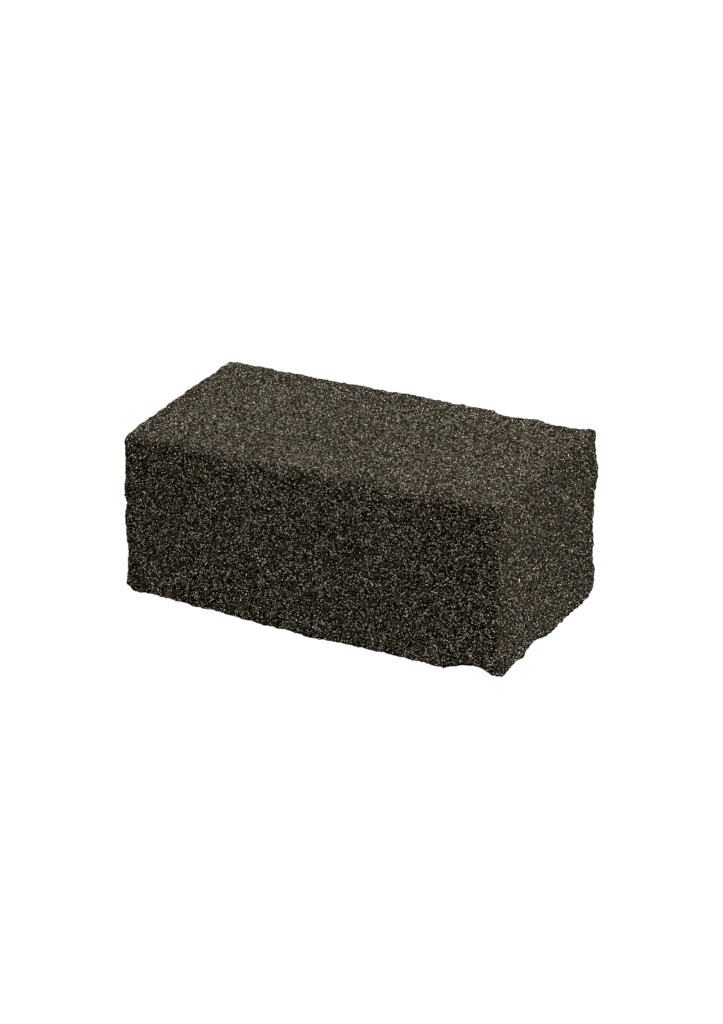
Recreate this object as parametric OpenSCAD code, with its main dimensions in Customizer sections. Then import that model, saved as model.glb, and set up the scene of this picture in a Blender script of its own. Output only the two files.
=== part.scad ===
// Floral foam brick: one saw-cut block of rigid, open-celled foam, with worn
// corners and the chips that a brittle foam picks up in handling.
//
// Millimetres. The origin is the middle of the foot, on the surface that the
// block stands on. +X runs along the block to its taller end, +Y runs to the
// back and +Z runs up.

/* [Block] */
// Length of the block, along X
block_length = 200; // [160:1:260]
// Width of the block, along Y
block_width = 102; // [85:1:130]
// Height at the left end, -X, where the top saw cut runs low
height_left = 82; // [65:1:100]
// Height at the right end, +X, where the top saw cut runs high
height_right = 88; // [65:1:100]

/* [Corner wear] */
// Radius of a corner that has kept its shape
crisp_corner = 1.5; // [1:0.5:3]
// Radius of a corner that is rubbed
rubbed_corner = 3; // [2:0.5:4]
// Radius of a corner that has been knocked
knocked_corner = 4; // [3:0.5:6]

/* [Chips] */
// Depth of the scoops out of the back edge of the top
back_chip_depth = 3; // [1:0.5:4]
// Depth of the scoop out of the front foot, beside the right corner
front_chip_depth = 6; // [1:0.5:7]
// Depth of the scoop out of the right end's foot
end_chip_depth = 3; // [1:0.5:4]

/* [Hidden] */

half_length = block_length / 2;
half_width = block_width / 2;
top_slope = atan2(height_right - height_left, block_length);

// Sides of the balls that round the corners
ball_sides = 32;

foam_colour = [0.27, 0.24, 0.20];

// The eight corners: [side along X, side along Y, bottom or top, radius]
corners = [
  [-1, -1, 0, knocked_corner],
  [ 1, -1, 0, crisp_corner],
  [ 1,  1, 0, knocked_corner],
  [-1,  1, 0, rubbed_corner],
  [-1, -1, 1, rubbed_corner],
  [ 1, -1, 1, rubbed_corner],
  [ 1,  1, 1, crisp_corner],
  [-1,  1, 1, crisp_corner]
];

// The chips: [where the edge is hit, way out of the foam, length, depth].
// Places along an edge are shares of the half length or half width.
chips = [
  [top_edge(0.55, 1), [0, 0.45, 1], 24, back_chip_depth],
  [top_edge(0.82, 1), [0, 0.45, 1], 30, back_chip_depth],
  [foot_edge(0.86, -1), [0, -0.45, -1], 29, front_chip_depth],
  [foot_edge(1, -0.22), [1, 0, -1], 26, end_chip_depth]
];

// Height of the top saw cut over a place x along the block
function top_at(x) = height_left + (x + half_length) * tan(top_slope);

// A place on the top, from its shares of the half length and half width
function top_edge(along, across) =
  [along * half_length, across * half_width, top_at(along * half_length)];

// A place on the foot, from its shares of the half length and half width
function foot_edge(along, across) =
  [along * half_length, across * half_width, 0];

// Radius of the ball whose cap is this long across and this deep
function scoop_radius(length, depth) =
  (length * length / 4 + depth * depth) / (2 * depth);

// A ball whose flats reach its full radius along each axis
module wear_ball(r) {
  sphere(r = r / cos(180 / ball_sides), $fn = ball_sides);
}

// The ball that rounds one corner, touching the three cuts that meet there
module corner_ball(corner) {
  r = corner[3];
  x = corner[0] * (half_length - r);
  y = corner[1] * (half_width - r);
  z = corner[2] == 0 ? r : top_at(x) - r / cos(top_slope);
  translate([x, y, z]) wear_ball(r);
}

// The block as it leaves the saw, with its corners worn
module worn_blank() {
  hull() {
    for (corner = corners) corner_ball(corner);
  }
}

// A shallow scoop broken out of an edge
module chip(place, outward, length, depth) {
  r = scoop_radius(length, depth);
  way = outward / norm(outward);
  translate(place + way * (r - depth)) sphere(r = r, $fn = 96);
}

// The brick itself: one solid block, flat on its foot
module foam_block() {
  color(foam_colour)
    difference() {
      worn_blank();
      for (c = chips) chip(c[0], c[1], c[2], c[3]);
    }
}

foam_block();
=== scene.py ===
# %% [markdown]
# # A floral foam brick
#
# A florist stands cut stems in a brick of rigid foam. The real thing is a single
# block: it is foamed, left to set and sawn to size, and nothing is fixed to it.
# All that there is to model is its surface, so this lesson is about surfaces:
# saw cuts that are not quite square, edges that crumble, chips, cells that the
# saw has opened, and the broken cell walls that stand up between them.
#
# It is never changed here. The block's size is read from it, and every place on
# the block follows from that.

# %% Load the frame
import math

import bpy
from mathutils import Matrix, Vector


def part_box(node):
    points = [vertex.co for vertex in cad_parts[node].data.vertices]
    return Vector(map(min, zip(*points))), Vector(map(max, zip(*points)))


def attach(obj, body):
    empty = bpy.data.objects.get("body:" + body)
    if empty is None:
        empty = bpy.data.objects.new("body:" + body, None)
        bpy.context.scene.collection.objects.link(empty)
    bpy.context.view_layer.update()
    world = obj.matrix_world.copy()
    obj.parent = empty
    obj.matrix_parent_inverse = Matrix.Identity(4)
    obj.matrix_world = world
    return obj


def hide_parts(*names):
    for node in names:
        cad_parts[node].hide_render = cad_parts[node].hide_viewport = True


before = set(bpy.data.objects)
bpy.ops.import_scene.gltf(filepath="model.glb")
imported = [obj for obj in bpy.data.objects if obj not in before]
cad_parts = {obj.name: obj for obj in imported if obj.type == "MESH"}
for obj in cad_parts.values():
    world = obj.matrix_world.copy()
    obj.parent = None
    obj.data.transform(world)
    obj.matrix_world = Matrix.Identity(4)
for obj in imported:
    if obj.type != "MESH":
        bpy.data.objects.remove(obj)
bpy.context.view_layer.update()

# %% [markdown]
# ## Sizes
#
# Blender works in metres here and foam is thought of in millimetres, so `MM`
# turns one into the other. The block's own sizes are read from the frame. The
# top saw cut leans, so each end has its own height: the highest point of the
# engineering model near that end.

# %% Sizes of the block
MM = 0.001

block_low, block_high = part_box("foam_block")
LENGTH = block_high.x - block_low.x
WIDTH = block_high.y - block_low.y
END_SLICE = 0.04 * LENGTH


def height_between(x_low, x_high):
    """Highest point of the engineering model between two places along X."""
    points = (v.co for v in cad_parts["foam_block"].data.vertices)
    return max(p.z for p in points if x_low <= p.x <= x_high)


LEFT_HEIGHT = height_between(block_low.x, block_low.x + END_SLICE)
RIGHT_HEIGHT = height_between(block_high.x - END_SLICE, block_high.x)
MEAN_HEIGHT = (LEFT_HEIGHT + RIGHT_HEIGHT) / 2
print(f"block {LENGTH / MM:.0f} x {WIDTH / MM:.0f} mm,")
print(f"{LEFT_HEIGHT / MM:.1f} mm high on the left, {RIGHT_HEIGHT / MM:.1f} mm on the right")

# %% [markdown]
# ## The camera
#
# A long lens from a step back keeps the block's edges nearly parallel, which is
# how a product is usually shown. The camera looks along one direction only, and
# a small slide sideways and up sets the block in the picture.

# %% Camera
CAMERA_AZIMUTH = math.radians(28.3)
CAMERA_ELEVATION = math.radians(25.35)
CAMERA_DISTANCE = 1.897
CAMERA_SLIDE = (1.3 * MM, 0.4 * MM)
LENS = 140


def place_camera():
    """Adds the camera, looking at the middle of the block."""
    towards_camera = Vector((
        math.sin(CAMERA_AZIMUTH) * math.cos(CAMERA_ELEVATION),
        -math.cos(CAMERA_AZIMUTH) * math.cos(CAMERA_ELEVATION),
        math.sin(CAMERA_ELEVATION),
    ))
    right = Vector((math.cos(CAMERA_AZIMUTH), math.sin(CAMERA_AZIMUTH), 0))
    up = towards_camera.cross(right)
    camera = bpy.data.objects.new("camera", bpy.data.cameras.new("camera"))
    camera.data.lens = LENS
    camera.location = (
        Vector((0, 0, MEAN_HEIGHT / 2))
        + towards_camera * CAMERA_DISTANCE
        + right * CAMERA_SLIDE[0]
        + up * CAMERA_SLIDE[1]
    )
    camera.rotation_euler = (-towards_camera).to_track_quat("-Z", "Y").to_euler()
    bpy.context.scene.collection.objects.link(camera)
    return camera


bpy.context.scene.camera = place_camera()
bpy.context.scene.view_settings.view_transform = "Standard"
print("camera at", [round(v, 3) for v in bpy.context.scene.camera.location])

# %% [markdown]
# ## The stage
#
# Dark foam is hard to light. Its faces are told apart only by how much light
# each one gets, and the broken cell walls need a bright lamp to glint in. So one
# lamp does nearly all the work. It stands high to the right and a little in
# front: the top gets most, the right end less, and the front is only grazed,
# which throws every grain on it into relief. A weak lamp behind keeps the back
# from going black, and the rest is what the floor and the sky throw back.
#
# The floor is a light table. It glows to the eye, so that shadows on it all but
# vanish, and it glows a little more further away, so that it meets the white sky
# without an edge.

# %% Stage
FLOOR_SIZE = 30.0
FLOOR_SEEN = 0.08
NEAR_GLOW = 0.97
FAR_GLOW = 1.0
NEAR_REACH = 0.4
FAR_REACH = 1.5
FLOOR_BOUNCE = 0.15
SKY_SEEN = 1.0
SKY_LIGHT = 0.11


def camera_ray_mask(tree):
    """1 for what the camera sees directly, 0 for light on its way round."""
    return tree.nodes.new("ShaderNodeLightPath").outputs["Is Camera Ray"]


def make_floor_paint():
    """A matt light table, whose glow is only for the eye and lights nothing."""
    material = bpy.data.materials.new("light table")
    material.use_nodes = True
    tree = material.node_tree
    surface = tree.nodes["Principled BSDF"]
    surface.inputs["Roughness"].default_value = 1.0
    surface.inputs["Specular IOR Level"].default_value = 0.0
    surface.inputs["Emission Color"].default_value = (1, 1, 1, 1)
    seen = camera_ray_mask(tree)
    away = tree.nodes.new("ShaderNodeVectorMath")
    away.operation = "LENGTH"
    tree.links.new(tree.nodes.new("ShaderNodeTexCoord").outputs["Object"], away.inputs[0])
    glow = tree.nodes.new("ShaderNodeMapRange")
    tree.links.new(away.outputs["Value"], glow.inputs["Value"])
    for label, value in {
        "From Min": NEAR_REACH,
        "From Max": FAR_REACH,
        "To Min": NEAR_GLOW,
        "To Max": FAR_GLOW,
    }.items():
        glow.inputs[label].default_value = value
    strength = tree.nodes.new("ShaderNodeMath")
    strength.operation = "MULTIPLY"
    tree.links.new(seen, strength.inputs[0])
    tree.links.new(glow.outputs["Result"], strength.inputs[1])
    tone = tree.nodes.new("ShaderNodeMix")
    tone.data_type = "RGBA"
    tree.links.new(seen, tone.inputs[0])
    tone.inputs[6].default_value = (FLOOR_BOUNCE,) * 3 + (1,)
    tone.inputs[7].default_value = (FLOOR_SEEN,) * 3 + (1,)
    tree.links.new(tone.outputs[2], surface.inputs["Base Color"])
    tree.links.new(strength.outputs[0], surface.inputs["Emission Strength"])
    return material


def make_floor():
    """A plain pale floor, wide enough to reach past every view."""
    half = FLOOR_SIZE / 2
    mesh = bpy.data.meshes.new("floor")
    corners = [(-half, -half, 0), (half, -half, 0), (half, half, 0), (-half, half, 0)]
    mesh.from_pydata(corners, [], [(0, 1, 2, 3)])
    mesh.materials.append(make_floor_paint())
    floor = bpy.data.objects.new("floor", mesh)
    bpy.context.scene.collection.objects.link(floor)
    return floor


def add_lamp(name, place, size, power):
    """A square soft lamp that points at the block."""
    light = bpy.data.lights.new(name, "AREA")
    light.shape = "SQUARE"
    light.size = size
    light.energy = power
    lamp = bpy.data.objects.new(name, light)
    lamp.location = place
    lamp.rotation_euler = (-Vector(place)).to_track_quat("-Z", "Y").to_euler()
    bpy.context.scene.collection.objects.link(lamp)


def light_the_sky():
    """An even pale sky: bright to look at, and weak as a light."""
    world = bpy.data.worlds.new("sky")
    world.use_nodes = True
    tree = world.node_tree
    strength = tree.nodes.new("ShaderNodeMapRange")
    strength.inputs["To Min"].default_value = SKY_LIGHT
    strength.inputs["To Max"].default_value = SKY_SEEN
    tree.links.new(camera_ray_mask(tree), strength.inputs["Value"])
    background = tree.nodes["Background"]
    background.inputs["Color"].default_value = (1, 1, 1, 1)
    tree.links.new(strength.outputs["Result"], background.inputs["Strength"])
    bpy.context.scene.world = world


make_floor()
light_the_sky()
add_lamp("main lamp", place=(0.83, -0.57, 1.40), size=0.9, power=47.5)
add_lamp("back lamp", place=(-1.15, 0.95, 0.85), size=0.8, power=12.0)
print("stage ready")

# %% [markdown]
# ## Tools for node trees
#
# Shaders and Geometry Nodes are both trees of nodes, and building one in a
# script takes the same few moves over and over: add a node, set its choices,
# feed its sockets. `Tree` wraps those moves, so that the trees below read from
# top to bottom like a recipe. A value fed to a socket may be a number, a colour
# or another node's output.


# %% A helper that fills node trees
class Tree:
    """A node tree that is filled one node at a time."""

    COLUMNS = 10
    COLUMN_STEP = 220
    ROW_STEP = -320

    def __init__(self, tree):
        self.tree = tree

    def add(self, kind, inputs=None, **choices):
        """Adds a node, sets its choices, and feeds its sockets by name or number."""
        row, column = divmod(len(self.tree.nodes), self.COLUMNS)
        node = self.tree.nodes.new(kind)
        node.location = (self.COLUMN_STEP * column, self.ROW_STEP * row)
        for name, choice in choices.items():
            setattr(node, name, choice)
        for key, value in (inputs or {}).items():
            self.feed(node.inputs[key], value)
        return node

    def feed(self, socket, value):
        """Links an output to the socket, or sets the socket's own value."""
        if isinstance(value, bpy.types.NodeSocket):
            self.tree.links.new(value, socket)
        else:
            socket.default_value = value

    def math(self, operation, *values):
        """One sum on numbers."""
        return self.add("ShaderNodeMath", dict(enumerate(values)), operation=operation).outputs[0]

    def vector(self, operation, *values):
        """One sum on vectors."""
        node = self.add("ShaderNodeVectorMath", dict(enumerate(values)), operation=operation)
        return node.outputs[1 if operation in ("LENGTH", "DOT_PRODUCT") else 0]

    def scaled(self, vector, factor):
        """A vector times a number."""
        inputs = {"Vector": vector, "Scale": factor}
        return self.add("ShaderNodeVectorMath", inputs, operation="SCALE").outputs[0]

    def ramp(self, value, low, high, out_low=0.0, out_high=1.0, kind="SMOOTHSTEP"):
        """Maps low..high to out_low..out_high, eased at both ends unless kind is LINEAR."""
        inputs = {0: value, 1: low, 2: high, 3: out_low, 4: out_high}
        return self.add("ShaderNodeMapRange", inputs, interpolation_type=kind).outputs[0]

    def swing(self, noise):
        """A noise of 0 to 1, spread out to swing from -2 to 2."""
        return self.math("MULTIPLY", self.math("SUBTRACT", noise.outputs["Fac"], 0.5), 4.0)

    def moved(self, geometry, **where):
        """The geometry with its points at a new Position, or shifted by an Offset."""
        return self.add("GeometryNodeSetPosition", {"Geometry": geometry, **where}).outputs[0]

    def marked(self, geometry, name, value, domain):
        """The geometry with a value kept on it as a named attribute."""
        inputs = {"Geometry": geometry, "Name": name, "Value": value}
        return self.add("GeometryNodeStoreNamedAttribute", inputs, domain=domain).outputs[0]

    def worked(self, group, inputs):
        """What a geometry group makes of its inputs."""
        return self.add("GeometryNodeGroup", inputs, node_tree=group).outputs[0]


SOCKETS = {
    "number": "NodeSocketFloat",
    "whole number": "NodeSocketInt",
    "vector": "NodeSocketVector",
    "colour": "NodeSocketColor",
    "geometry": "NodeSocketGeometry",
    "material": "NodeSocketMaterial",
}


def new_group(name, kind, inputs, outputs):
    """An empty group with named sockets, and the Tree that fills it.

    inputs are (label, socket kind, first value) and outputs are (label, socket kind).
    """
    group = bpy.data.node_groups.new(name, kind)
    for label, socket, value in inputs:
        made = group.interface.new_socket(label, in_out="INPUT", socket_type=SOCKETS[socket])
        if value is not None:
            made.default_value = value
    for label, socket in outputs:
        group.interface.new_socket(label, in_out="OUTPUT", socket_type=SOCKETS[socket])
    tree = Tree(group)
    return tree, tree.add("NodeGroupInput").outputs, tree.add("NodeGroupOutput").inputs


# %% [markdown]
# ## Wall knots, as a shader group
#
# Cut foam is a net of thin, brittle cell walls. Where walls meet there is a
# knot, a grain of solid material, which stands up and catches the light, while
# the hollows between the knots fall into shade. A Voronoi texture scatters centres in
# space and measures how far away the nearest one is, so each centre can be a
# knot: high in the middle and low halfway to the next. The material paints that
# light and shade into the colour as well, from the Knot mask.
#
# The group puts out masks and a height, never a shader. The shader stays in the
# material itself, where its own numbers can be set on it.

# %% Shader group: wall knots
MM_PER_METRE = 1000.0
KNOT_SPACING_MM = 0.68
KNOT_CORE = 0.10
KNOT_RIM = 0.58


def make_knot_group():
    """Masks and height of the knots in cut foam, on coordinates in metres."""
    tree, given, result = new_group(
        "wall knots",
        "ShaderNodeTree",
        [("Position", "vector", None), ("Spacing mm", "number", KNOT_SPACING_MM)],
        [("Knot", "number"), ("Per Knot", "number"), ("Height", "number")],
    )
    scale = tree.math("DIVIDE", MM_PER_METRE, given["Spacing mm"])
    knots = tree.add("ShaderNodeTexVoronoi", {"Vector": given["Position"], "Scale": scale})
    distance = knots.outputs["Distance"]
    tree.feed(result["Knot"], tree.ramp(distance, KNOT_CORE, KNOT_RIM, 1.0, 0.0))
    chance = tree.add("ShaderNodeSeparateColor", {0: knots.outputs["Color"]}).outputs[0]
    tree.feed(result["Per Knot"], chance)
    tree.feed(result["Height"], tree.math("SUBTRACT", 1.0, distance))
    return tree.tree


wall_knots = make_knot_group()
print("built the shader group", wall_knots.name)

# %% [markdown]
# ## Slow drift of colour, as a shader group
#
# Over a few centimetres the foam drifts a little between a browner and a greyer
# tone, and in brightness, because the mix is never quite even. One slow noise
# moves the tone and another the brightness.

# %% Shader group: mottle


def make_mottle_group():
    """A slow drift between two tints, with a slow change of brightness."""
    tree, given, result = new_group(
        "mottle",
        "ShaderNodeTree",
        [
            ("Position", "vector", None),
            ("Patch mm", "number", 14.0),
            ("Warm", "colour", (1.05, 0.990, 0.96, 1)),
            ("Cool", "colour", (0.97, 1.010, 0.95, 1)),
            ("Strength", "number", 0.2),
        ],
        [("Tint", "colour")],
    )
    scale = tree.math("DIVIDE", MM_PER_METRE, given["Patch mm"])
    tone = tree.add("ShaderNodeTexNoise", {"Vector": given["Position"], "Scale": scale, "Detail": 3.0})
    tone_mask = tree.ramp(tone.outputs["Fac"], 0.38, 0.62)
    shifted = tree.vector("ADD", given["Position"], (0.31, 0.17, 0.23))
    light = tree.add("ShaderNodeTexNoise", {"Vector": shifted, "Scale": scale, "Detail": 2.0})
    spread = tree.math("SUBTRACT", light.outputs["Fac"], 0.5)
    brightness = tree.math("MULTIPLY_ADD", spread, given["Strength"], 1.0)
    blend = {0: tone_mask, 6: given["Warm"], 7: given["Cool"]}
    tint = tree.add("ShaderNodeMix", blend, data_type="RGBA").outputs[2]
    tree.feed(result["Tint"], tree.scaled(tint, brightness))
    return tree.tree


mottle = make_mottle_group()
print("built the shader group", mottle.name)

# %% [markdown]
# ## Finish of the cut foam
#
# Salt and pepper is a matter of how many grains have which tone. Most are dark,
# some are brown-grey and a few are pale; the pale ones are painted glints. The
# colour ramp spells that out: its input is a chance value that is spread evenly
# from 0 to 1, so the places of its stops are the shares of the grains that stay
# below each tone. Light and shade are painted in as well: the hollows are painted
# almost black as shade and the middle of each knot is painted brighter as a
# highlight, and the bump lets each knot turn its own side to the light.
#
# The grain is calmer on the top and on the right end than on the front. That is
# painted shade on the two sides that the main lamp lights most: their knots are
# painted duller and their hollows paler, which also darkens them on the whole.
# Fine dust from the saw would do that, by making hollows paler and knots duller,
# so that is how it is made here, though the true cause isn't known. The block
# carries the amount as an attribute, from 0 to 1.

# %% Material: cut foam
# random tones of the grains; the pale stops at 0.88 and 1.00 are painted glints
GRAIN_TONES_AND_PAINTED_GLINTS = [
    (0.00, (0.026, 0.0160, 0.0050, 1)),
    (0.35, (0.060, 0.0440, 0.0160, 1)),
    (0.70, (0.165, 0.1320, 0.0730, 1)),
    (0.88, (0.680, 0.6050, 0.4550, 1)),
    (1.00, (1.000, 0.9400, 0.8100, 1)),
]
# painted light and shade: hollows painted almost black as shade, knot middles painted brighter as a
# highlight
HOLLOW_PAINTED_SHADE = 0.005
# painted shade on the sides the main lamp lights most: paler hollows and duller knots there
LIT_SIDE_HOLLOW = 0.19
KNOT_PAINTED_HIGHLIGHT = 1.2
LIT_SIDE_KNOT = 0.50
KNOT_BUMP = 2.0 * MM
HOLLOW_ROUGHNESS, KNOT_ROUGHNESS = 0.8, 0.35
HOLLOW_GLOSS, KNOT_GLOSS = 0.0, 0.5


def tone_ramp(tree, chance, tones):
    """A colour ramp with one stop for each (place, colour)."""
    ramp = tree.add("ShaderNodeValToRGB", {0: chance})
    stops = ramp.color_ramp.elements
    stops[0].position, stops[0].color = tones[0]
    stops[1].position, stops[1].color = tones[-1]
    for place, colour in tones[1:-1]:
        stops.new(place).color = colour
    return ramp.outputs["Color"]


def multiplied(tree, colour, other):
    """One colour times another."""
    inputs = {0: 1.0, 6: colour, 7: other}
    return tree.add("ShaderNodeMix", inputs, data_type="RGBA", blend_type="MULTIPLY").outputs[2]


def make_cut_foam():
    """The finish of the block's own surface."""
    material = bpy.data.materials.new("cut foam")
    material.use_nodes = True
    tree = Tree(material.node_tree)
    surface = material.node_tree.nodes["Principled BSDF"]
    place = tree.add("ShaderNodeTexCoord").outputs["Object"]

    knots = tree.add("ShaderNodeGroup", node_tree=wall_knots)
    tree.feed(knots.inputs["Position"], place)
    tree.feed(knots.inputs["Spacing mm"], KNOT_SPACING_MM)
    colour = tone_ramp(tree, knots.outputs["Per Knot"], GRAIN_TONES_AND_PAINTED_GLINTS)
    # painted shade on the top and right end, the sides the main lamp lights most
    painted_shade = tree.add("ShaderNodeAttribute", attribute_name="painted_shade").outputs["Fac"]
    low = tree.ramp(painted_shade, 0.0, 1.0, HOLLOW_PAINTED_SHADE, LIT_SIDE_HOLLOW, kind="LINEAR")
    high = tree.ramp(painted_shade, 0.0, 1.0, KNOT_PAINTED_HIGHLIGHT, LIT_SIDE_KNOT, kind="LINEAR")
    # painted shade in the hollows and a painted highlight on the middle of each knot
    shade = tree.ramp(knots.outputs["Knot"], 0.0, 1.0, low, high, kind="LINEAR")
    colour = tree.scaled(colour, shade)

    drift = tree.add("ShaderNodeGroup", node_tree=mottle)
    tree.feed(drift.inputs["Position"], place)
    tree.feed(surface.inputs["Base Color"], multiplied(tree, colour, drift.outputs["Tint"]))

    bump = {"Height": knots.outputs["Height"], "Distance": KNOT_BUMP, "Strength": 1.0}
    tree.feed(surface.inputs["Normal"], tree.add("ShaderNodeBump", bump).outputs["Normal"])
    knot = knots.outputs["Knot"]
    roughness = tree.ramp(knot, 0.2, 1.0, HOLLOW_ROUGHNESS, KNOT_ROUGHNESS)
    tree.feed(surface.inputs["Roughness"], roughness)
    gloss = tree.ramp(knot, 0.2, 0.8, HOLLOW_GLOSS, KNOT_GLOSS)
    tree.feed(surface.inputs["Specular IOR Level"], gloss)
    return material


cut_foam = make_cut_foam()
print("built the material", cut_foam.name)

# %% [markdown]
# ## The block
#
# The block could be sculpted by hand, but its shape follows rules, so Geometry
# Nodes make it. A box of small squares is worked over in the order in which the
# real one came about:
#
# 1. the saw leaves six faces, the top one leaning, with a low swelling here and
#    there where it cut less deep;
# 2. handling rounds the edges, more in one place than in the next;
# 3. knocks take out the chips, each one a shallow scoop;
# 4. crumbs fall from the edges, and the opened cells pit the whole surface.
#
# Each of these but the lean is a node group, so that it can be tried by itself.
# The tree rounds the edges before it leans the top, because a plain box is
# simpler to round.

# %% Geometry group: rounded edges


def make_rounding_group():
    """Moves the points of a box inwards, so that its edges become round."""
    tree, given, result = new_group(
        "rounded edges",
        "GeometryNodeTree",
        [
            ("Geometry", "geometry", None),
            ("Half Size", "vector", None),
            ("Radius", "number", 3 * MM),
            ("Unevenness", "number", 0.5),
            ("Foot Share", "number", 0.5),
            ("Front Share", "number", 1.0),
            ("Patch", "number", 16 * MM),
        ],
        [("Geometry", "geometry")],
    )
    place = tree.add("GeometryNodeInputPosition").outputs[0]
    scale = tree.math("DIVIDE", 1.0, given["Patch"])
    noise = tree.add("ShaderNodeTexNoise", {"Vector": place, "Scale": scale, "Detail": 2.0})
    factor = tree.math("MULTIPLY_ADD", tree.swing(noise), given["Unevenness"], 1.0)
    shares = tree.vector("DIVIDE", place, given["Half Size"])
    _, across, height = tree.add("ShaderNodeSeparateXYZ", {0: shares}).outputs
    top_share = tree.ramp(across, -1.0, -0.6, given["Front Share"], 1.0)
    share = tree.ramp(height, 0.0, 0.8, given["Foot Share"], top_share)
    factor = tree.math("MULTIPLY", tree.math("MAXIMUM", factor, 0.25), share)
    radius = tree.math("MULTIPLY", given["Radius"], factor)
    inset = tree.add("ShaderNodeCombineXYZ", {0: radius, 1: radius, 2: radius}).outputs[0]
    core = tree.vector("SUBTRACT", given["Half Size"], inset)
    nearest = tree.vector("MINIMUM", tree.vector("MAXIMUM", place, tree.scaled(core, -1.0)), core)
    outward = tree.vector("NORMALIZE", tree.vector("SUBTRACT", place, nearest))
    moved = tree.vector("ADD", nearest, tree.scaled(outward, radius))
    tree.feed(result["Geometry"], tree.moved(given["Geometry"], Position=moved))
    return tree.tree


rounded_edges = make_rounding_group()
print("built the geometry group", rounded_edges.name)

# %% [markdown]
# A chip is a shallow scoop. The group below pushes every point that lies inside
# a ball out to the ball's surface. The ball's middle lies outside the foam, so
# the points move into the block and leave a dish. A little noise on the radius
# makes the dish ragged. The open pores and the dent in the top are small chips too.

# %% Geometry group: one chip


def make_chip_group():
    """Pushes the points inside a ragged ball out to its surface."""
    tree, given, result = new_group(
        "chip",
        "GeometryNodeTree",
        [
            ("Geometry", "geometry", None),
            ("Middle", "vector", None),
            ("Radius", "number", 20 * MM),
            ("Raggedness", "number", 0.4 * MM),
        ],
        [("Geometry", "geometry")],
    )
    place = tree.add("GeometryNodeInputPosition").outputs[0]
    away = tree.vector("SUBTRACT", place, given["Middle"])
    noise = tree.add("ShaderNodeTexNoise", {"Vector": place, "Scale": 1 / (4 * MM), "Detail": 2.0})
    radius = tree.math("MULTIPLY_ADD", tree.swing(noise), given["Raggedness"], given["Radius"])
    reach = tree.math("MAXIMUM", tree.vector("LENGTH", away), radius)
    moved = tree.vector("ADD", given["Middle"], tree.scaled(tree.vector("NORMALIZE", away), reach))
    tree.feed(result["Geometry"], tree.moved(given["Geometry"], Position=moved))
    return tree.tree


chip_group = make_chip_group()
print("built the geometry group", chip_group.name)

# %% [markdown]
# A swelling is the opposite and much gentler: the foam was never cut quite
# straight there. Points are pushed out, most in the middle, less further away.

# %% Geometry group: one swelling


def make_swelling_group():
    """Pushes the points around a place outwards, fading with distance."""
    tree, given, result = new_group(
        "swelling",
        "GeometryNodeTree",
        [
            ("Geometry", "geometry", None),
            ("Middle", "vector", None),
            ("Reach", "number", 20 * MM),
            ("Push", "vector", None),
        ],
        [("Geometry", "geometry")],
    )
    place = tree.add("GeometryNodeInputPosition").outputs[0]
    away = tree.vector("LENGTH", tree.vector("SUBTRACT", place, given["Middle"]))
    share = tree.ramp(away, 0.0, given["Reach"], 1.0, 0.0)
    offset = tree.scaled(given["Push"], share)
    tree.feed(result["Geometry"], tree.moved(given["Geometry"], Offset=offset))
    return tree.tree


swelling_group = make_swelling_group()
print("built the geometry group", swelling_group.name)

# %% [markdown]
# The list of chips is this one block's history. A place is given as shares of
# the half length and the half width, with 0 for the foot and 1 for the top, so
# it stays on its edge whatever the block's size. The way out of the foam, the
# length of the chip along the edge and its depth follow. The swellings are told
# in the same way, with how far they reach and how high they stand.

# %% Chips of this block
CHIPS = [
    # back edge of the top: two bites near the right end, each steep on its left,
    # and two nicks further left
    ((0.525, 1, 1), (0, 0.45, 1), 15, 3.0),
    ((0.570, 1, 1), (0, 0.45, 1), 28, 2.2),
    ((0.785, 1, 1), (0, 0.45, 1), 17, 3.0),
    ((0.850, 1, 1), (0, 0.45, 1), 34, 2.5),
    ((-0.70, 1, 1), (0, 0.45, 1), 9, 1.2),
    ((-0.10, 1, 1), (0, 0.45, 1), 12, 0.8),
    # front edge of the foot: a deep bite beside the right corner, and a long
    # shallow one near the left
    ((0.860, -1, 0), (0, -0.45, -1), 29, 5.6),
    ((-0.78, -1, 0), (0, -0.45, -1), 40, 1.2),
    # foot of the right end
    ((1, -0.22, 0), (1, 0, -1), 26, 3.2),
    ((1, -0.62, 0), (1, 0, -1), 18, 1.0),
    # corners
    ((1, 1, 0), (1, 1, -1), 16, 3.0),
    ((-1, -1, 0), (-1, -1, -1), 16, 3.2),
    ((-1, -1, 1), (-1, -1, 1), 11, 1.8),
    ((1, -1, 0), (0.0, -0.5, -0.9), 22, 3.0),
    # upright edges
    ((-1, -1, 0.56), (-1, -0.5, 0), 13, 1.5),
    ((-1, -1, 0.24), (-1, -0.5, 0), 36, 1.7),
    ((1, 1, 0.42), (1, 0.5, 0), 20, 0.8),
    # open pores on the front
    ((-0.130, -1, 0.43), (0, -1, 0), 4.0, 1.8),
    ((0.345, -1, 0.65), (0, -1, 0), 3.4, 1.5),
    ((0.600, -1, 0.66), (0, -1, 0), 3.4, 1.5),
    # a dent in the top
    ((0.65, -0.27, 1), (0, 0, 1), 7.0, 0.7),
]


def height_at(x):
    """Height of the leaning top over a place along X."""
    share = (x - block_low.x) / LENGTH
    return LEFT_HEIGHT + share * (RIGHT_HEIGHT - LEFT_HEIGHT)


def place_on_block(shares):
    """A point from its shares of half length, half width and height."""
    x, y = shares[0] * LENGTH / 2, shares[1] * WIDTH / 2
    return Vector((x, y, shares[2] * height_at(x)))


def chip_ball(shares, way_out, length, depth):
    """Middle and radius of the ball that scoops out a chip."""
    place = place_on_block(shares)
    radius = (length**2 / 4 + depth**2) / (2 * depth) * MM
    return place + Vector(way_out).normalized() * (radius - depth * MM), radius


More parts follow.
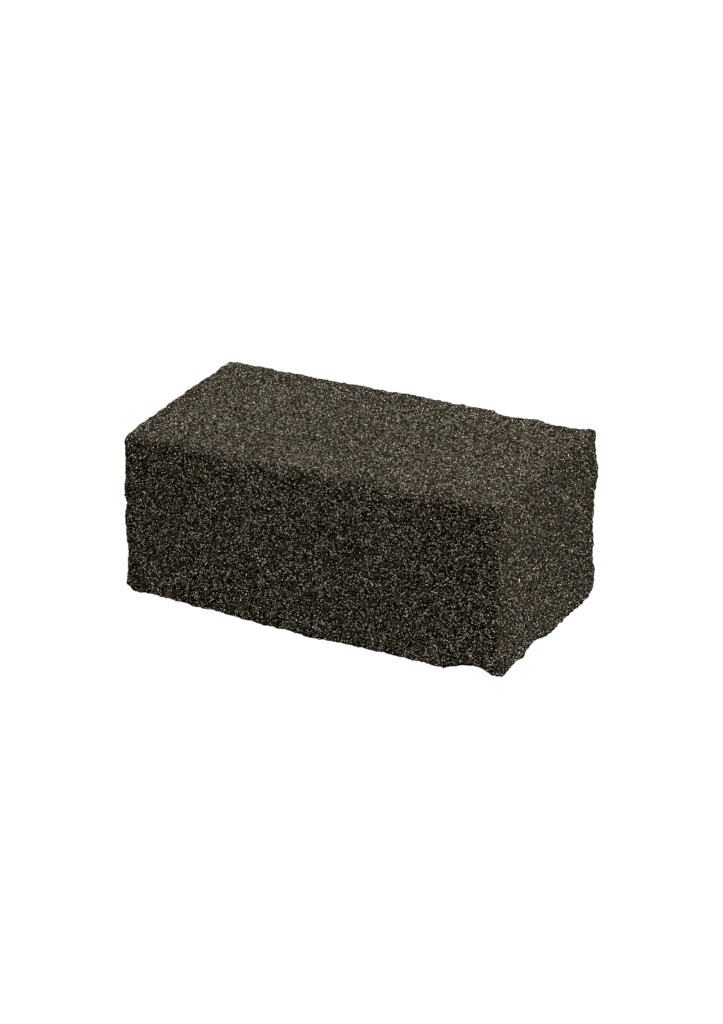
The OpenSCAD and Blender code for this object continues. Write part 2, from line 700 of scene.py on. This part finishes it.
SWELLINGS = [
    # up the right back edge, and along the front above the foot
    ((1, 1, 0.74), (1, 0.5, 0), 16, 1.5),
    ((1, 1, 0.12), (1, 0.5, 0), 11, 1.3),
    ((-0.05, -1, 0.02), (0, -1, 0), 42, 2.2),
]

print(len(CHIPS), "chips and", len(SWELLINGS), "swellings")

# %% [markdown]
# Crumbs and cells are the last and finest work, and both push the surface in
# along its own normal. The amounts are added up first and used in one move:
#
# - waves, a few centimetres long, because a saw wanders;
# - crumbs, only near an edge, where noise passes a threshold;
# - cells, from Voronoi distance, a pit in the middle of each, and wider pores in
#   the same way;
# - a pinch of pure chance on every point, so that each little facet faces its
#   own way and catches the light by itself.
#
# Pits and chance only take away. So that the block doesn't shrink, the surface
# is first raised by half of the most that cells and chance can take. The foot is
# pressed flat at the end, since that is where the block stands.

# %% Geometry group: worn surface
GIVEN_BACK = 0.5


def make_wear_group():
    """Moves the surface by waves, crumbled edges, cells, pores and chance."""
    tree, given, result = new_group(
        "worn surface",
        "GeometryNodeTree",
        [
            ("Geometry", "geometry", None),
            ("Edge Distance", "number", 1.0),
            ("Wave Height", "number", 0.5 * MM),
            ("Crumb Depth", "number", 1.2 * MM),
            ("Crumb Reach", "number", 5 * MM),
            ("Cell Size", "number", 2.2 * MM),
            ("Cell Depth", "number", 0.45 * MM),
            ("Pore Size", "number", 9 * MM),
            ("Pore Depth", "number", 0.9 * MM),
            ("Chance", "number", 0.2 * MM),
            ("Seed", "whole number", 1),
        ],
        [("Geometry", "geometry")],
    )
    place = tree.add("GeometryNodeInputPosition").outputs[0]
    normal = tree.add("GeometryNodeInputNormal").outputs[0]

    wave_scale = 1 / (28 * MM)
    wave = tree.add("ShaderNodeTexNoise", {"Vector": place, "Scale": wave_scale, "Detail": 2.0})
    waves = tree.math("MULTIPLY", tree.swing(wave), given["Wave Height"])

    crumb_scale = 1 / (3.2 * MM)
    crumb = tree.add("ShaderNodeTexNoise", {"Vector": place, "Scale": crumb_scale, "Detail": 1.5})
    loose = tree.ramp(crumb.outputs["Fac"], 0.42, 0.72, kind="LINEAR")
    near_edge = tree.ramp(given["Edge Distance"], 0.0, given["Crumb Reach"], 1.0, 0.0)
    fallen = tree.math("MULTIPLY", tree.math("MULTIPLY", loose, near_edge), given["Crumb Depth"])

    cell_scale = tree.math("DIVIDE", 1.0, given["Cell Size"])
    cell = tree.add("ShaderNodeTexVoronoi", {"Vector": place, "Scale": cell_scale}, feature="F1")
    pit = tree.ramp(cell.outputs["Distance"], 0.1, 0.75, 1.0, 0.0)
    pits = tree.math("MULTIPLY", pit, given["Cell Depth"])

    pore_scale = tree.math("DIVIDE", 1.0, given["Pore Size"])
    pore = tree.add("ShaderNodeTexVoronoi", {"Vector": place, "Scale": pore_scale}, feature="F1")
    hole = tree.ramp(pore.outputs["Distance"], 0.08, 0.22, 1.0, 0.0)
    pits = tree.math("MULTIPLY_ADD", hole, given["Pore Depth"], pits)

    chance = tree.add("FunctionNodeRandomValue", {8: given["Seed"]}, data_type="FLOAT")
    jitter = tree.math("MULTIPLY", chance.outputs[1], given["Chance"])

    depth = tree.math("ADD", tree.math("ADD", fallen, pits), jitter)
    share = tree.math("MULTIPLY", given["Cell Depth"], GIVEN_BACK)
    level = tree.math("MULTIPLY_ADD", given["Chance"], GIVEN_BACK, share)
    height = tree.math("ADD", waves, tree.math("SUBTRACT", level, depth))
    offset = tree.scaled(normal, height)
    tree.feed(result["Geometry"], tree.moved(given["Geometry"], Offset=offset))
    return tree.tree


worn_surface = make_wear_group()
print("built the geometry group", worn_surface.name)

# %% [markdown]
# Now the whole recipe. The box starts centred on the origin, which keeps the
# rounding simple. Its distance to the nearest edge is worked out while it is
# still a plain box, and kept on the mesh as an attribute: of the three gaps
# between a point and the faces, the middle one is the distance to the edge.
# Then the box is lifted onto its foot and its top is leaned over.
#
# "Foot Share" and "Front Share" say how round the edges of the foot and the
# front edge of the top are, next to "Edge Radius".

# %% Geometry tree: the block
FACET = 1.0 * MM
END_PAINTED_SHADE = 0.6
SIDES = {
    "top": (0, 0, 1),
    "front": (0, -1, 0),
    "back": (0, 1, 0),
    "left_end": (-1, 0, 0),
    "right_end": (1, 0, 0),
}


def make_block_tree():
    """Box, rounded edges, lean, swellings, chips, painted shade and wear, in that order."""
    tree, given, result = new_group(
        "foam block",
        "GeometryNodeTree",
        [
            ("Length", "number", 0.2),
            ("Width", "number", 0.1),
            ("Left Height", "number", 0.08),
            ("Right Height", "number", 0.08),
            ("Facet", "number", FACET),
            ("Edge Radius", "number", 1.9 * MM),
            ("Edge Unevenness", "number", 0.45),
            ("Foot Share", "number", 0.45),
            ("Front Share", "number", 2.0),
            ("Wave Height", "number", 0.35 * MM),
            ("Crumb Depth", "number", 0.8 * MM),
            ("Cell Size", "number", 2.2 * MM),
            ("Cell Depth", "number", 0.35 * MM),
            ("Pore Depth", "number", 0.9 * MM),
            ("Chance", "number", 0.3 * MM),
            ("Seed", "whole number", 7),
            ("Material", "material", None),
        ],
        [("Geometry", "geometry")],
    )
    total = tree.math("ADD", given["Left Height"], given["Right Height"])
    mean = tree.math("MULTIPLY", total, 0.5)
    size = tree.add("ShaderNodeCombineXYZ", {0: given["Length"], 1: given["Width"], 2: mean}).outputs[0]
    half = tree.scaled(size, 0.5)
    counts = [
        tree.math("ADD", tree.math("DIVIDE", side, given["Facet"]), 1.0)
        for side in (given["Length"], given["Width"], mean)
    ]
    box = {"Size": size, "Vertices X": counts[0], "Vertices Y": counts[1], "Vertices Z": counts[2]}
    geometry = tree.add("GeometryNodeMeshCube", box).outputs["Mesh"]

    place = tree.add("GeometryNodeInputPosition").outputs[0]
    gaps = tree.vector("SUBTRACT", half, tree.vector("ABSOLUTE", place))
    a, b, c = tree.add("ShaderNodeSeparateXYZ", {0: gaps}).outputs
    low = tree.math("MINIMUM", tree.math("MINIMUM", a, b), c)
    high = tree.math("MAXIMUM", tree.math("MAXIMUM", a, b), c)
    middle = tree.math("SUBTRACT", tree.math("ADD", tree.math("ADD", a, b), c), tree.math("ADD", low, high))
    geometry = tree.marked(geometry, "edge_distance", middle, "POINT")

    normal = tree.add("GeometryNodeInputNormal").outputs[0]
    for name, axis in SIDES.items():
        facing = tree.math("GREATER_THAN", tree.vector("DOT_PRODUCT", normal, axis), 0.5)
        geometry = tree.marked(geometry, name, facing, "FACE")

    geometry = tree.worked(rounded_edges, {
        "Geometry": geometry,
        "Half Size": half,
        "Radius": given["Edge Radius"],
        "Unevenness": given["Edge Unevenness"],
        "Foot Share": given["Foot Share"],
        "Front Share": given["Front Share"],
    })

    x, y, z = tree.add("ShaderNodeSeparateXYZ", {0: place}).outputs
    lift = tree.math("ADD", tree.math("DIVIDE", z, mean), 0.5)
    rise = tree.math("SUBTRACT", given["Right Height"], given["Left Height"])
    slope = tree.math("DIVIDE", rise, given["Length"])
    height = tree.math("MULTIPLY_ADD", x, slope, mean)
    raised = tree.math("MULTIPLY", lift, height)
    leaned = tree.add("ShaderNodeCombineXYZ", {0: x, 1: y, 2: raised}).outputs[0]
    geometry = tree.moved(geometry, Position=leaned)

    for shares, way_out, reach, high in SWELLINGS:
        geometry = tree.worked(swelling_group, {
            "Geometry": geometry,
            "Middle": place_on_block(shares),
            "Reach": reach * MM,
            "Push": Vector(way_out).normalized() * high * MM,
        })

    for chip in CHIPS:
        ball_middle, ball_radius = chip_ball(*chip)
        inputs = {"Geometry": geometry, "Middle": ball_middle, "Radius": ball_radius}
        geometry = tree.worked(chip_group, inputs)

    # painted shade by facing: full on the top, less on the right end, where the main lamp falls
    facing = tree.add("GeometryNodeInputNormal").outputs[0]
    rightward, _, upward = tree.add("ShaderNodeSeparateXYZ", {0: facing}).outputs
    upward_shade = tree.ramp(upward, 0.2, 1.0)
    rightward_shade = tree.math("MULTIPLY", tree.ramp(rightward, 0.2, 1.0), END_PAINTED_SHADE)
    painted_shade = tree.math("MAXIMUM", upward_shade, rightward_shade)
    painted_shade = tree.add("GeometryNodeBlurAttribute", {"Value": painted_shade, "Iterations": 3}, data_type="FLOAT")
    geometry = tree.marked(geometry, "painted_shade", painted_shade.outputs[0], "POINT")

    edge = tree.add("GeometryNodeInputNamedAttribute", {"Name": "edge_distance"}, data_type="FLOAT")
    wear = {"Geometry": geometry, "Edge Distance": edge.outputs[0]}
    for label in ("Wave Height", "Crumb Depth", "Cell Size", "Cell Depth", "Pore Depth", "Chance", "Seed"):
        wear[label] = given[label]
    geometry = tree.worked(worn_surface, wear)

    x, y, z = tree.add("ShaderNodeSeparateXYZ", {0: place}).outputs
    pressed = tree.add("ShaderNodeCombineXYZ", {0: x, 1: y, 2: tree.math("MAXIMUM", z, 0.0)}).outputs[0]
    geometry = tree.moved(geometry, Position=pressed)
    inputs = {"Geometry": geometry, "Shade Smooth": False}
    geometry = tree.add("GeometryNodeSetShadeSmooth", inputs).outputs[0]
    geometry = tree.add("GeometryNodeRealizeInstances", {"Geometry": geometry}).outputs[0]
    inputs = {"Geometry": geometry, "Material": given["Material"]}
    tree.feed(result["Geometry"], tree.add("GeometryNodeSetMaterial", inputs).outputs[0])
    return tree.tree


def grow(name, tree, values, start=None):
    """Runs a geometry tree on a new object and keeps the result as a plain mesh."""
    piece = bpy.data.objects.new(name, start or bpy.data.meshes.new(name))
    bpy.context.scene.collection.objects.link(piece)
    modifier = piece.modifiers.new("grow", "NODES")
    modifier.node_group = tree
    for item in tree.interface.items_tree:
        if item.item_type == "SOCKET" and item.name in values:
            modifier[item.identifier] = values[item.name]
    evaluated = piece.evaluated_get(bpy.context.evaluated_depsgraph_get())
    mesh = bpy.data.meshes.new_from_object(evaluated)
    mesh.name = name
    piece.modifiers.remove(modifier)
    piece.data = mesh
    faces = sum(len(p.vertices) - 2 for p in mesh.polygons)
    print(f"{name}: {len(mesh.vertices)} points, {faces} triangles")
    return piece


brick = grow("foam_brick", make_block_tree(), {
    "Length": LENGTH,
    "Width": WIDTH,
    "Left Height": LEFT_HEIGHT,
    "Right Height": RIGHT_HEIGHT,
    "Material": cut_foam,
})
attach(brick, "root")
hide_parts("foam_block")

# %% [markdown]
# ## Broken cell walls
#
# The saw tears the thin walls of the cells and leaves splinters standing. Each
# splinter is a squashed octahedron, a closed solid with sharp edges and only
# eight triangles. The tree below scatters them over one side of the finished
# block: points at random, a splinter on each, turned and sized by chance. Every
# splinter gets a number of its own, kept as an attribute, and the material reads
# its tone there.
#
# None are placed on the foot or just above it, so the block still stands flat.

# %% Material: cell wall
WALL_ROUGHNESS = 0.26
WALL_GLOSS = 0.8


def make_cell_wall():
    """The finish of the splinters: bare foam, a little glossy where it broke."""
    material = bpy.data.materials.new("cell wall")
    material.use_nodes = True
    tree = Tree(material.node_tree)
    surface = material.node_tree.nodes["Principled BSDF"]
    place = tree.add("ShaderNodeTexCoord").outputs["Object"]
    chance = tree.add("ShaderNodeAttribute", attribute_name="tint").outputs["Fac"]
    # the same ramp of tones, so the palest splinters carry painted glints
    colour = tone_ramp(tree, chance, GRAIN_TONES_AND_PAINTED_GLINTS)
    drift = tree.add("ShaderNodeGroup", node_tree=mottle)
    tree.feed(drift.inputs["Position"], place)
    tree.feed(surface.inputs["Base Color"], multiplied(tree, colour, drift.outputs["Tint"]))
    surface.inputs["Roughness"].default_value = WALL_ROUGHNESS
    surface.inputs["Specular IOR Level"].default_value = WALL_GLOSS
    return material


cell_wall = make_cell_wall()
print("built the material", cell_wall.name)

# %% Geometry tree: splinters on one side
CLEAR_OF_FOOT = 1.5 * MM


def make_splinter_tree(side):
    """Scatters splinters over the side of the block that carries this name."""
    tree, given, result = new_group(
        f"splinters on the {side}",
        "GeometryNodeTree",
        [
            ("Geometry", "geometry", None),
            ("Per Square Metre", "number", 780_000.0),
            ("Smallest", "vector", (0.22 * MM, 0.31 * MM, 0.45 * MM)),
            ("Largest", "vector", (0.42 * MM, 0.64 * MM, 0.9 * MM)),
            ("Seed", "whole number", 3),
            ("Material", "material", None),
        ],
        [("Geometry", "geometry")],
    )
    here = tree.add("GeometryNodeInputNamedAttribute", {"Name": side}, data_type="FLOAT").outputs[0]
    place = tree.add("GeometryNodeInputPosition").outputs[0]
    height = tree.add("ShaderNodeSeparateXYZ", {0: place}).outputs[2]
    clear = tree.math("GREATER_THAN", height, CLEAR_OF_FOOT)
    scatter = {
        "Mesh": given["Geometry"],
        "Selection": tree.math("MULTIPLY", here, clear),
        "Density": given["Per Square Metre"],
        "Seed": given["Seed"],
    }
    points = tree.add("GeometryNodeDistributePointsOnFaces", scatter).outputs["Points"]

    splinter = tree.add("GeometryNodeMeshUVSphere", {"Segments": 4, "Rings": 2, "Radius": 0.5}).outputs[0]
    turn = {0: (-math.pi,) * 3, 1: (math.pi,) * 3, 8: given["Seed"]}
    turn = tree.add("FunctionNodeRandomValue", turn, data_type="FLOAT_VECTOR").outputs[0]
    sizes = {0: given["Smallest"], 1: given["Largest"], 8: tree.math("ADD", given["Seed"], 1)}
    sizes = tree.add("FunctionNodeRandomValue", sizes, data_type="FLOAT_VECTOR").outputs[0]
    stand = {"Points": points, "Instance": splinter, "Rotation": turn, "Scale": sizes}
    geometry = tree.add("GeometryNodeInstanceOnPoints", stand).outputs[0]

    tone = tree.add("FunctionNodeRandomValue", {8: tree.math("ADD", given["Seed"], 2)}, data_type="FLOAT")
    geometry = tree.marked(geometry, "tint", tone.outputs[1], "INSTANCE")
    geometry = tree.add("GeometryNodeRealizeInstances", {"Geometry": geometry}).outputs[0]
    inputs = {"Geometry": geometry, "Material": given["Material"]}
    tree.feed(result["Geometry"], tree.add("GeometryNodeSetMaterial", inputs).outputs[0])
    return tree.tree


for number, side in enumerate(SIDES):
    splinters = grow(
        f"splinters_{side}",
        make_splinter_tree(side),
        {"Seed": 3 + 10 * number, "Material": cell_wall},
        start=brick.data.copy(),
    )
    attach(splinters, "root")

# %% [markdown]
# One flake on the right end is paler and larger than the rest. It stands upright
# in the face, and like a splinter it has six points.

# %% The pale flake
FLAKE_PLACE = (1, -0.59, 0.49)
FLAKE_SIZE = (0.8 * MM, 0.9 * MM, 2.8 * MM)


def make_flake():
    """A pale, upright flake in the right end."""
    middle = place_on_block(FLAKE_PLACE)
    corners = []
    for axis, size in enumerate(FLAKE_SIZE):
        for side in (-0.5, 0.5):
            corner = middle.copy()
            corner[axis] += side * size
            corners.append(corner)
    faces = []
    for x in (0, 1):
        for y in (2, 3):
            for z in (4, 5):
                outward = (x + y + z) % 2 == 1
                faces.append((x, y, z) if outward else (x, z, y))
    mesh = bpy.data.meshes.new("pale_flake")
    mesh.from_pydata(corners, [], faces)
    mesh.attributes.new("tint", "FLOAT", "POINT").data.foreach_set("value", [1.0] * len(corners))
    mesh.materials.append(cell_wall)
    flake = bpy.data.objects.new("pale_flake", mesh)
    bpy.context.scene.collection.objects.link(flake)
    return flake


flake = make_flake()
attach(flake, "root")
print("the flake's faces look outwards:", all(
    face.normal.dot(face.center - place_on_block(FLAKE_PLACE)) > 0 for face in flake.data.polygons
))
